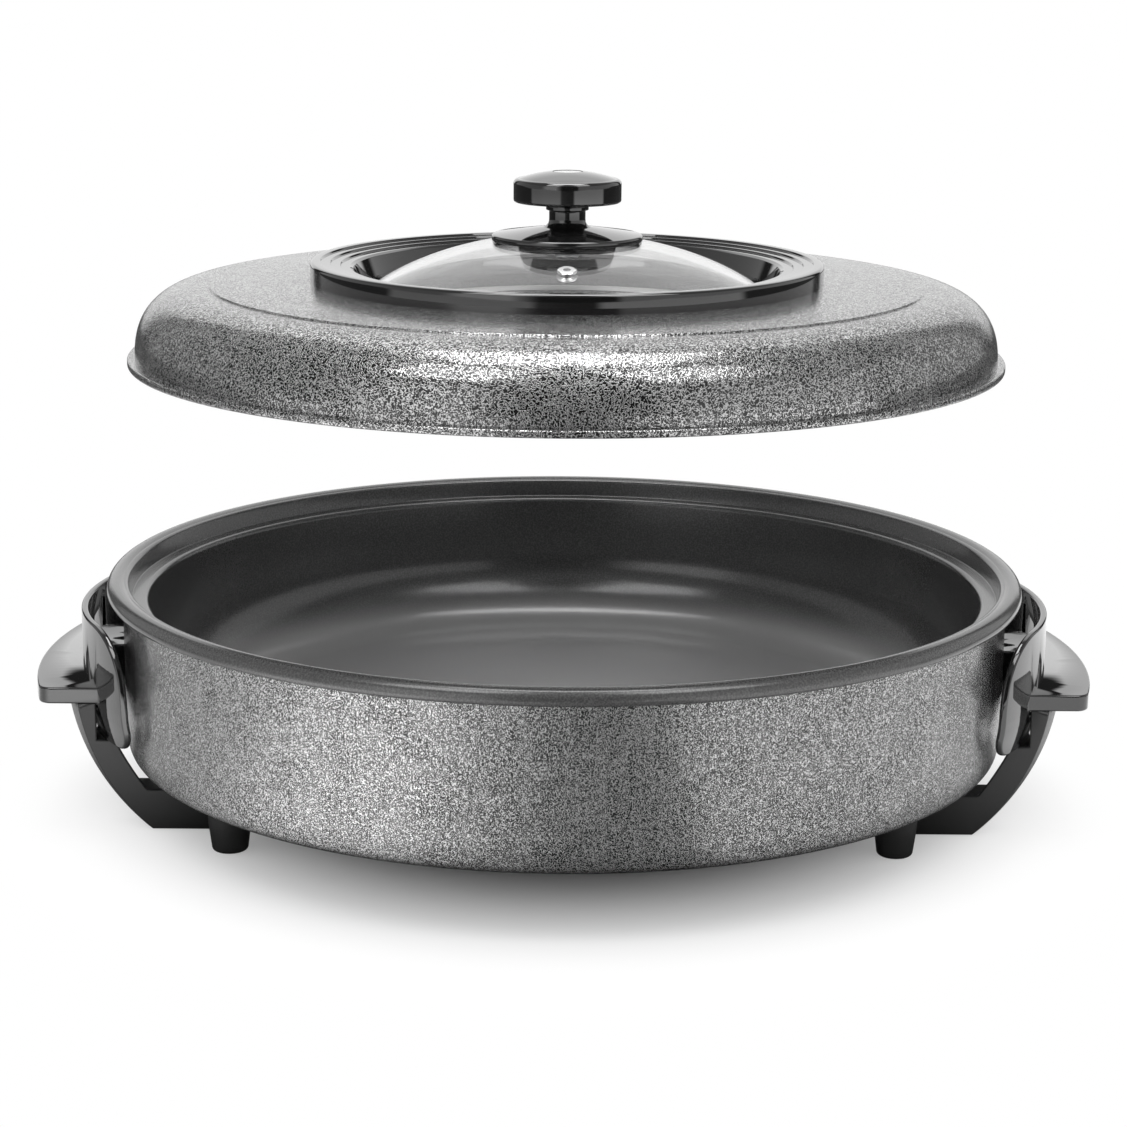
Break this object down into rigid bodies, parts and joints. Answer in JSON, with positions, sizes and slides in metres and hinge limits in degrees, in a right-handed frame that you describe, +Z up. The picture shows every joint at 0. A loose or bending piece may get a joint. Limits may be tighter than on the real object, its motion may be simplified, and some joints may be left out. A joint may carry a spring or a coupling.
{
  "type": "electric multi pan",
  "caption": "Round electric pan with a hammered shell, side grips on curved legs, a ledge for its lid, and a domed lid with a glass window, raised above it.",
  "frame": {"origin": "on the pan's vertical axis, at the plane of the feet", "axes": "+X towards the right grip seen from the front, +Y towards the rear with the inlet, +Z up"},
  "size_m": [0.4856, 0.42, 0.2923],
  "materials": {
    "nonstick": "satin non-stick coating",
    "hammered_shell": "hammered enamel, semi-gloss",
    "hammered_lid": "hammered enamel, semi-gloss",
    "gloss_black": "gloss",
    "satin_black": "satin",
    "foot_black": "matt",
    "window": "clear, polished",
    "silicone": "matt",
    "bright_metal": "polished",
    "cover_plate": "plain pressed sheet",
    "sheath": "heat-darkened",
    "fastener": "plain",
    "contact": "plated"
  },
  "bodies": {
    "base": {"cooking_bowl": "nonstick", "outer_shell": "hammered_shell", "bottom_cover": "cover_plate", "centre_stud": "fastener", "centre_nut": "fastener", "heating_element": "sheath", "element_clips": "cover_plate", "clip_screws": "fastener", "probe_guide": "cover_plate", "contact_pins": "contact", "inlet_housing": "satin_black", "inlet_screws": "fastener", "earth_clip": "contact", "handle_left": "gloss_black", "handle_right": "gloss_black", "handle_screws": "fastener", "leg_bracket_left": "satin_black", "leg_bracket_right": "satin_black", "leg_screws": "fastener", "leg_top_screws": "fastener", "foot_front_left": "foot_black", "foot_front_right": "foot_black", "foot_rear_left": "foot_black", "foot_rear_right": "foot_black", "foot_screws": "fastener", "foot_nuts": "fastener"},
    "lid": {"lid_dome": "hammered_lid", "bezel_ring": "gloss_black", "glass_window": "window", "glass_gasket": "silicone", "retaining_ring": "cover_plate", "bezel_screws": "fastener", "vent_grommet": "bright_metal", "knob_base": "gloss_black", "knob_cap": "gloss_black", "knob_disc": "bright_metal", "knob_upper_washer": "silicone", "knob_lower_washer": "silicone", "knob_lower_disc": "gloss_black", "knob_bolt": "fastener"}
  },
  "joints": [
    {"name": "lid_lift", "type": "slide", "parent": "base", "child": "lid", "axis": [0, 0, 1], "range_m": [-0.1064, 0.1]}
  ]
}
